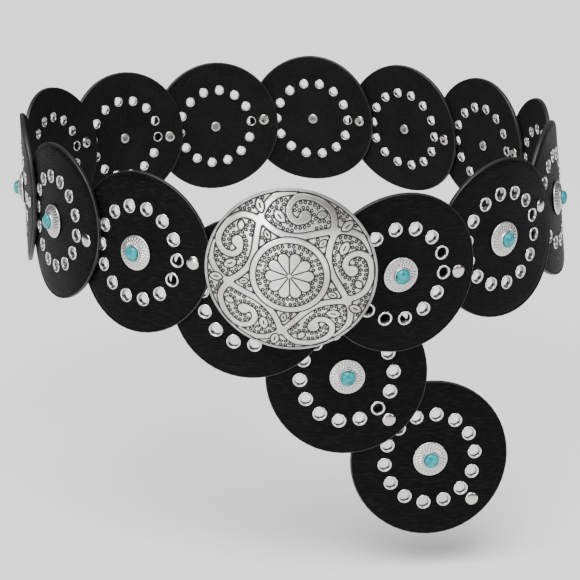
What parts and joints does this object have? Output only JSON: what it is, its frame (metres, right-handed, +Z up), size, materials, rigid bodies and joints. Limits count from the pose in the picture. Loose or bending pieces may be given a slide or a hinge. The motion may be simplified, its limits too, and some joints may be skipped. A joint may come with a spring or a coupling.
{
  "type": "concho belt",
  "caption": "Belt of lapped round black leather discs with silver eyelets, conchos and turquoise stones, and a large domed engraved silver buckle, fastened in a loop.",
  "frame": {"origin": "middle of the waist hollow, level with the mean height of the disc centres", "axes": "+Z up as worn, -Y to the front where the buckle is, +X to the right as seen from the front"},
  "size_m": [0.3041, 0.3018, 0.2136],
  "materials": {
    "black_leather": "smooth black leather, matt on the inner face",
    "nickel_trim": "polished nickel-plated conchos, eyelets and rivets",
    "turquoise": "polished blue-green turquoise cabochon with fine brown veins",
    "aged_silver": "brushed antique silver with a dark patina in the engraving"
  },
  "bodies": {
    "root": {"disc_01": "black_leather", "concho_01": "nickel_trim", "stone_01": "turquoise", "disc_02": "black_leather", "concho_02": "nickel_trim", "stone_02": "turquoise", "disc_03": "black_leather", "concho_03": "nickel_trim", "stone_03": "turquoise", "disc_04": "black_leather", "concho_04": "nickel_trim", "stone_04": "turquoise", "disc_05": "black_leather", "concho_05": "nickel_trim", "stone_05": "turquoise", "disc_06": "black_leather", "concho_06": "nickel_trim", "stone_06": "turquoise", "disc_07": "black_leather", "concho_07": "nickel_trim", "stone_07": "turquoise", "disc_08": "black_leather", "concho_08": "nickel_trim", "stone_08": "turquoise", "disc_09": "black_leather", "concho_09": "nickel_trim", "stone_09": "turquoise", "disc_10": "black_leather", "concho_10": "nickel_trim", "stone_10": "turquoise", "disc_11": "black_leather", "concho_11": "nickel_trim", "stone_11": "turquoise", "disc_12": "black_leather", "concho_12": "nickel_trim", "stone_12": "turquoise", "disc_13": "black_leather", "concho_13": "nickel_trim", "stone_13": "turquoise", "disc_14": "black_leather", "concho_14": "nickel_trim", "stone_14": "turquoise", "disc_15": "black_leather", "concho_15": "nickel_trim", "stone_15": "turquoise", "disc_16": "black_leather", "concho_16": "nickel_trim", "stone_16": "turquoise", "buckle": "aged_silver"}
  },
  "joints": []
}
